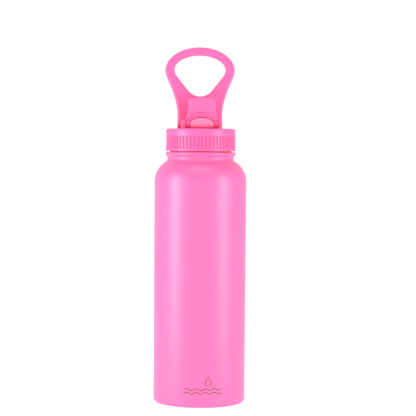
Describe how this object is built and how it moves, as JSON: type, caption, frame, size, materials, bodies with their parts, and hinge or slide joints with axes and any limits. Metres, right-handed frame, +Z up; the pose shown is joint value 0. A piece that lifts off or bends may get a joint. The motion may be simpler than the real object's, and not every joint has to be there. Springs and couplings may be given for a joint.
{
  "type": "insulated bottle",
  "caption": "Insulated wide-mouth steel bottle with a knurled screw lid, a folding spout and a carry loop.",
  "frame": {"origin": "centre of the ring that the bottle stands on, at the resting plane", "axes": "+Z up along the bottle's axis, -Y towards the spout (front), +X to the right seen from the front"},
  "size_m": [0.091, 0.091, 0.3531],
  "materials": {
    "powder_coat": "satin pink powder coat",
    "stainless_steel": "brushed stainless steel",
    "lid_plastic": "satin moulded polypropylene, pink",
    "loop_plastic": "satin moulded polypropylene, deeper pink",
    "pink_silicone": "soft matt silicone, pink",
    "white_silicone": "soft matt silicone, white",
    "natural_plastic": "moulded and extruded natural polypropylene",
    "foam": "closed-cell foam",
    "sealing_glass": "fused sealing bead",
    "getter_metal": "pressed metal powder"
  },
  "bodies": {
    "bottle": {"outer_shell": "powder_coat", "inner_flask": "stainless_steel", "base_cap": "stainless_steel", "vacuum_base": "stainless_steel", "vacuum_seal": "sealing_glass", "getter": "getter_metal"},
    "lid_seal": {"lid_gasket": "white_silicone"},
    "lid": {"lid_shell": "lid_plastic", "lid_liner": "natural_plastic", "lid_foam": "foam", "port_seal": "white_silicone", "vent_valve": "white_silicone", "straw_grommet": "white_silicone", "spout_pin_left": "stainless_steel", "spout_pin_right": "stainless_steel", "loop_pin": "stainless_steel"},
    "spout": {"spout_body": "lid_plastic", "mouthpiece": "pink_silicone", "seal_pad": "pink_silicone"},
    "loop": {"carry_loop": "loop_plastic"},
    "straw": {"straw": "natural_plastic"}
  },
  "joints": [
    {"name": "lid_climb", "type": "slide", "parent": "bottle", "child": "lid_seal", "axis": [0, 0, 1], "range_m": [0, 0.00626]},
    {"name": "lid_turn", "type": "hinge", "parent": "lid_seal", "child": "lid", "pos_m": [0, 0, 0.258], "axis": [0, 0, 1], "range_deg": [0, 450]},
    {"name": "spout_fold", "type": "hinge", "parent": "lid", "child": "spout", "pos_m": [0, -0.0085, 0.27652], "axis": [1, 0, 0], "range_deg": [0, 90]},
    {"name": "loop_fold", "type": "hinge", "parent": "lid", "child": "loop", "pos_m": [0, 0.013, 0.27602], "axis": [-1, 0, 0], "range_deg": [0, 90]},
    {"name": "straw_pull", "type": "slide", "parent": "lid", "child": "straw", "axis": [0, 0, -1], "range_m": [0, 0.012]}
  ],
  "couplings": [
    {"joint": "lid_climb", "follows": "lid_turn", "m_per_rad": 0.00079577}
  ]
}
